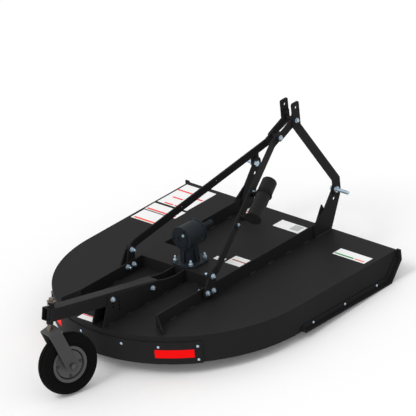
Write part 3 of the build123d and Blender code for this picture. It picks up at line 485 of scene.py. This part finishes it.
rim_back = ((0.0830, -0.0145), (0.0820, disc_back), (hub_radius, disc_back), (hub_radius, -hub_half))
rim_steps = 96
seam_gap = 0.00001
sharp_edge = math.radians(30)
rim = bmesh.new()
turned(rim, stand(wheel_centre, wheel_axis), [*rim_hub, *rim_front, *rim_well, *rim_back, rim_hub[0]],
       steps=rim_steps, closed=False)
bmesh.ops.remove_doubles(rim, verts=rim.verts, dist=seam_gap)
bmesh.ops.recalc_face_normals(rim, faces=rim.faces)
grooved_rim = finish_mesh(rim, "grooved_rim", rim_finish, "wheel")
grooved_rim.data.set_sharp_from_angle(angle=sharp_edge)
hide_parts("wheel_rim")

# Rim bolts round the wheel's hub, heads on the dished side and nuts behind the disc
rim_bolt = 0.010
rim_bolt_circle = 0.075
rim_bolt_count = 4
first_bolt_degrees = -4
rim_bolts = bmesh.new()
wheel_face = stand(wheel_centre + wheel_axis * disc_face, wheel_axis)
wheel_back = stand(wheel_centre + wheel_axis * disc_back, -wheel_axis)
for turn in range(rim_bolt_count):
    angle = math.radians(360 / rim_bolt_count * turn + first_bolt_degrees)
    spot = Matrix.Rotation(angle, 4, "Z") @ Matrix.Translation((rim_bolt_circle, 0, 0))
    hex_bolt(rim_bolts, wheel_face @ spot, rim_bolt)
    hex_nut(rim_bolts, wheel_back @ Matrix.Rotation(2 * angle, 4, "Z") @ spot, rim_bolt, tail=0.3)
slotted(rim_bolts, "rim_bolts", "grey_paint", "wheel")

# Skid bolts: domed heads outside, nuts inside the side plates
small_dome = 0.009
small_nut = 0.010
small_tail = 0.3
skid_bolt_rows = (0.694, 0.41, 0.13)
skid_bolt_height = -0.153
skid_outside = side_outside + skid_leg_thickness
side_inside = side_outside - side_thickness
skid_bolts = bmesh.new()
for sign in SIDES:
    for y in skid_bolt_rows:
        dome_bolt(skid_bolts, toward((sign * skid_outside, y, skid_bolt_height), (sign, 0, 0)), small_dome)
        inner_place = (sign * side_inside, y, skid_bolt_height)
        hex_nut(skid_bolts, toward(inner_place, (-sign, 0, 0), turn=0.2), small_nut, small_tail)
slotted(skid_bolts, "skid_bolts", "zinc_steel")

# Rear shield bolts: angle about the rotor in degrees, and Z
band_bolt_places = ((-99.7, -0.067), (-78, -0.067), (-61.9, -0.067), (-45.8, -0.067), (-45.8, -0.154),
                    (-118.1, -0.067), (-134.2, -0.067), (-134.2, -0.154))
skirt_inside = skirt_radius - side_thickness
band_bolts = bmesh.new()
for angle, z in band_bolt_places:
    out = Vector((math.cos(math.radians(angle)), math.sin(math.radians(angle)), 0))
    rise = Vector((0, 0, z))
    dome_bolt(band_bolts, toward(out * band_outside + rise, out), small_dome)
    hex_nut(band_bolts, toward(out * skirt_inside + rise, -out), small_nut, small_tail)
slotted(band_bolts, "band_bolts", "zinc_steel")


def curved_plate(builder, start, end, low, high, inner, outer, steps=16):
    """Add a plate bent round the rotor's axis between two angles in degrees."""
    corners = []
    for step in range(steps + 1):
        angle = math.radians(start + (end - start) * step / steps)
        out = Vector((math.cos(angle), math.sin(angle), 0))
        corners.append([builder.verts.new(deck_matrix @ (out * radius + Vector((0, 0, z))))
                        for radius, z in ((inner, low), (outer, low), (outer, high), (inner, high))])
    for before, after in zip(corners, corners[1:]):
        for index in range(4):
            following = (index + 1) % 4
            face = builder.faces.new((before[index], after[index], after[following], before[following]))
            face.smooth = False
    builder.faces.new(corners[0])
    builder.faces.new(corners[-1][::-1])


# A weld bead's leg, the pitch and swell of its ripples, its share at the ends and that of its bulging face
bead = 0.006
ripple_pitch = 0.004
ripple_swell = 0.12
end_share = 0.55
face_share = 0.6


def weld(builder, start, end, leg_a, leg_b):
    """Add a fillet bead along a corner line; the legs point along the two faces, away from the corner."""
    start, end, leg_a, leg_b = Vector(start), Vector(end), Vector(leg_a), Vector(leg_b)
    steps = max(2, round((end - start).length / ripple_pitch))
    rings = []
    for step in range(steps + 1):
        place = start.lerp(end, step / steps)
        swell = bead * (end_share if step in (0, steps) else 1 + ripple_swell * (step % 2))
        corners = (place, place + leg_a * swell, place + (leg_a + leg_b) * swell * face_share,
                   place + leg_b * swell)
        rings.append([builder.verts.new(deck_matrix @ corner) for corner in corners])
    for before, after in zip(rings, rings[1:]):
        for index in range(4):
            following = (index + 1) % 4
            builder.faces.new((before[index], after[index], after[following], before[following]))
    builder.faces.new(rings[0])
    builder.faces.new(rings[-1][::-1])


def side_bead(builder, x, y_start, y_end, away):
    """Add a bead on the deck at the foot of an upright plate's face; away is the face's sign along X."""
    weld(builder, (x, y_start, 0), (x, y_end, 0), (away, 0, 0), (0, 0, 1))


# Stitches along the rails, the tail plates and the platform, and full beads at the hitch plates
rail_stitch = 0.05
rail_stitch_starts = (-0.53, -0.36, 0.17, 0.33, 0.49, 0.65)
plate_stitch = 0.04
plate_stitch_starts = (-0.78, -0.62, -0.46, -0.30, -0.17)
platform_stitch = 0.045
platform_stitch_starts = (0.09, 0.24)
hitch_outer_bead = (0.748, 0.888)
hitch_inner_bead = (0.775, 0.880)
welds = bmesh.new()
for sign in SIDES:
    for y in rail_stitch_starts:
        side_bead(welds, sign * rail_inside, y, y + rail_stitch, -sign)
        side_bead(welds, sign * rail_outside, y, y + rail_stitch, sign)
    for y in plate_stitch_starts:
        side_bead(welds, sign * plate_outside, y, y + plate_stitch, sign)
    for x in platform_stitch_starts:
        for y_sign in (-1, 1):
            y = y_sign * platform_half
            weld(welds, (sign * x, y, 0), (sign * (x + platform_stitch), y, 0), (0, y_sign, 0), (0, 0, 1))
    side_bead(welds, sign * hitch_outside, *hitch_outer_bead, sign)
    side_bead(welds, sign * hitch_inside, *hitch_inner_bead, -sign)
bmesh.ops.recalc_face_normals(welds, faces=welds.faces)
finish_mesh(welds, "welds", weld_finish, "frame")

# Weld beads round the kingpin sleeve, above and below the arm
swivel_foot = Vector(joints["caster_swivel"]["pos_m"])
swivel_axis = Vector(joints["caster_swivel"]["axis"])
sleeve_radius = 0.021
arm_half_depth = 0.040
round_bead = ((sleeve_radius, arm_half_depth), (sleeve_radius + bead, arm_half_depth),
              (sleeve_radius + bead * face_share, arm_half_depth + bead * face_share),
              (sleeve_radius, arm_half_depth + bead), (sleeve_radius, arm_half_depth))
sleeve_welds = bmesh.new()
for sign in (-1, 1):
    turned(sleeve_welds, stand(swivel_foot, swivel_axis * sign), round_bead, steps=32, closed=False)
bmesh.ops.recalc_face_normals(sleeve_welds, faces=sleeve_welds.faces)
finish_mesh(sleeve_welds, "sleeve_welds", weld_finish, "frame")

# Grease nipple on the kingpin sleeve; the profile holds radius and height pairs
nipple_height = 0.056
nipple_profile = ((0.0045, -0.001), (0.0045, 0.004), (0.003, 0.005), (0.003, 0.008), (0.0038, 0.010),
                  (0.002, 0.013))
nipple_axis = (swivel_axis.cross(deck_right) * -1).normalized()
nipple_foot = swivel_foot + swivel_axis * nipple_height + nipple_axis * sleeve_radius
nipple = bmesh.new()
turned(nipple, stand(nipple_foot, nipple_axis), nipple_profile, steps=12)
slotted(nipple, "grease_nipple", "zinc_steel")

# Red reflectors on the rear shield, one on each side, between two angles about the rotor in degrees
reflector_low = -0.137
reflector_high = -0.085
reflector_thickness = 0.0012
for side, start, end in (("right", -63.5, -47.3), ("left", -132.7, -116.5)):
    reflector = bmesh.new()
    curved_plate(reflector, start, end, reflector_low, reflector_high, band_outside,
                 band_outside + reflector_thickness)
    finish_mesh(reflector, f"reflector_{side}", reflector_red, "frame")

# Blank labels on the deck, with plain stripes: each has its reach along X and along Y
label_thickness = 0.0003
stripe_thickness = 0.0002


def flat_label(name, finish, x_range, y_range, thickness, lift=0.0):
    """Lay a thin printed sheet on the deck, or with a lift on another sheet."""
    builder = bmesh.new()
    (left, right), (rear, front) = x_range, y_range
    low = [builder.verts.new(deck_point(x, y, lift)) for x, y in
           ((left, rear), (right, rear), (right, front), (left, front))]
    shift = deck_up * thickness
    high = [builder.verts.new(corner.co + shift) for corner in low]
    builder.faces.new(low[::-1])
    builder.faces.new(high)
    for index in range(4):
        following = (index + 1) % 4
        builder.faces.new((low[index], low[following], high[following], high[index]))
    finish_mesh(builder, name, finish, "frame")


label_places = {
    "outer_rear": ((-0.810, -0.605), (0.355, 0.474)),
    "outer_middle": ((-0.816, -0.567), (0.482, 0.576)),
    "outer_front": ((-0.816, -0.578), (0.597, 0.862)),
    "centre_front": ((-0.010, 0.192), (0.731, 0.820)),
    "gearbox_side": ((0.074, 0.203), (0.209, 0.312)),
    "gearbox_small": ((-0.019, 0.055), (0.206, 0.251)),
    "right_front": ((0.541, 0.792), (0.647, 0.726)),
    "tail_left": ((-0.186, -0.062), (-0.801, -0.746)),
    "rail_left": ((-0.297, -0.200), (0.768, 0.845)),
}
for place, (x_range, y_range) in label_places.items():
    flat_label(f"label_{place}", label_white, x_range, y_range, label_thickness)
stripes = (
    ("outer_rear", label_orange, (-0.796, -0.606), (0.363, 0.379)),
    ("outer_middle", label_red, (-0.808, -0.580), (0.492, 0.507)),
    ("outer_middle_line", label_grey, (-0.816, -0.580), (0.482, 0.487)),
    ("outer_front_a", label_red, (-0.816, -0.690), (0.776, 0.790)),
    ("outer_front_b", label_red, (-0.777, -0.697), (0.686, 0.700)),
    ("outer_front_c", label_red, (-0.769, -0.703), (0.605, 0.618)),
    ("outer_front_d", label_red, (-0.690, -0.640), (0.605, 0.618)),
    ("outer_front_e", label_red, (-0.640, -0.587), (0.740, 0.754)),
    ("gearbox_side", label_brown, (0.086, 0.203), (0.260, 0.272)),
    ("right_front_green", label_green, (0.547, 0.694), (0.658, 0.671)),
    ("right_front_orange", label_orange, (0.702, 0.778), (0.660, 0.670)),
    ("centre_front_patch", label_grey, (0.105, 0.170), (0.750, 0.812)),
    ("tail_left", label_red, (-0.186, -0.062), (-0.756, -0.748)),
    ("rail_left", label_red, (-0.292, -0.205), (0.785, 0.795)),
)
for place, finish, x_range, y_range in stripes:
    flat_label(f"stripe_{place}", finish, x_range, y_range, stripe_thickness, lift=label_thickness)

# Camera: the photograph's direction in the deck frame, through a very long lens
photo_size = 416
photo_scale = 169.24
photo_origin = (191.52, 272.84)
camera_azimuth = math.radians(44.4)
camera_elevation = math.radians(26.2)
camera_roll = math.radians(5.31)
camera_distance = 90.0
camera_reach = 250
back = Vector((math.sin(camera_azimuth) * math.cos(camera_elevation),
               -math.cos(camera_azimuth) * math.cos(camera_elevation), math.sin(camera_elevation)))
level_right = Vector((math.cos(camera_azimuth), math.sin(camera_azimuth), 0))
level_up = back.cross(level_right)
picture_right = level_right * math.cos(camera_roll) - level_up * math.sin(camera_roll)
picture_up = level_right * math.sin(camera_roll) + level_up * math.cos(camera_roll)
picture_middle = photo_size / 2
centre = picture_right * (picture_middle - photo_origin[0]) + picture_up * (photo_origin[1] - picture_middle)
aim = centre / photo_scale
pose = Matrix((picture_right, picture_up, back)).transposed().to_4x4()
pose.translation = aim + back * camera_distance
lens = bpy.data.cameras.new("photo_camera")
lens.lens = lens.sensor_width * camera_distance * photo_scale / photo_size
lens.clip_end = camera_reach
camera = bpy.data.objects.new("photo_camera", lens)
camera.matrix_world = deck_matrix @ pose
bpy.context.scene.collection.objects.link(camera)
bpy.context.scene.camera = camera

# Floor: pale paper, lifted a little for what the camera and metal see
white = (1, 1, 1, 1)
floor_half = 30
paper_lift = 0.06
floor_mesh = bpy.data.meshes.new("floor")
floor_corners = [(x * floor_half, y * floor_half, 0) for x, y in ((-1, -1), (1, -1), (1, 1), (-1, 1))]
floor_mesh.from_pydata(floor_corners, [], [(0, 1, 2, 3)])
floor = bpy.data.objects.new("floor", floor_mesh)
bpy.context.scene.collection.objects.link(floor)
paper = material("floor_paper", (0.97, 0.97, 0.97), 0.9, specular=0.1, mottle=0.01)
paper_shader = paper.node_tree.nodes["Principled BSDF"]
paper_shader.inputs["Emission Color"].default_value = white


def seen_level(tree, unseen, seen):
    """Value that is one level for light on the object and another for what the camera and metal see."""
    rays = tree.nodes.new("ShaderNodeLightPath")
    reached = rays.outputs["Is Camera Ray"]
    for ray in ("Is Glossy Ray", "Is Transmission Ray"):
        either = tree.nodes.new("ShaderNodeMath")
        either.operation = "MAXIMUM"
        tree.links.new(reached, either.inputs[0])
        tree.links.new(rays.outputs[ray], either.inputs[1])
        reached = either.outputs["Value"]
    level = tree.nodes.new("ShaderNodeMapRange")
    level.inputs["To Min"].default_value = unseen
    level.inputs["To Max"].default_value = seen
    tree.links.new(reached, level.inputs["Value"])
    return level.outputs["Result"]


paper_glow = seen_level(paper.node_tree, 0.0, paper_lift)
paper.node_tree.links.new(paper_glow, paper_shader.inputs["Emission Strength"])
floor_mesh.materials.append(paper)

# World: even white studio light, seen at full white by the camera and in reflections
world = bpy.data.worlds.new("studio")
bpy.context.scene.world = world
world.use_nodes = True
background = world.node_tree.nodes["Background"]
background.inputs["Color"].default_value = white
world_level = 0.76
white_level = 1.0
world_glow = seen_level(world.node_tree, world_level, white_level)
world.node_tree.links.new(world_glow, background.inputs["Strength"])

# Sun: a soft key from the rear left, high above the deck
sun_strength = 0.9
sun_spread = math.radians(25)
sun_from = Vector((-0.15, -0.60, 0.78))
sun_data = bpy.data.lights.new("key", "SUN")
sun_data.energy = sun_strength
sun_data.angle = sun_spread
sun = bpy.data.objects.new("key", sun_data)
sun.rotation_euler = sun_from.to_track_quat("Z", "Y").to_euler()
bpy.context.scene.collection.objects.link(sun)

bpy.context.scene.view_settings.view_transform = "Standard"
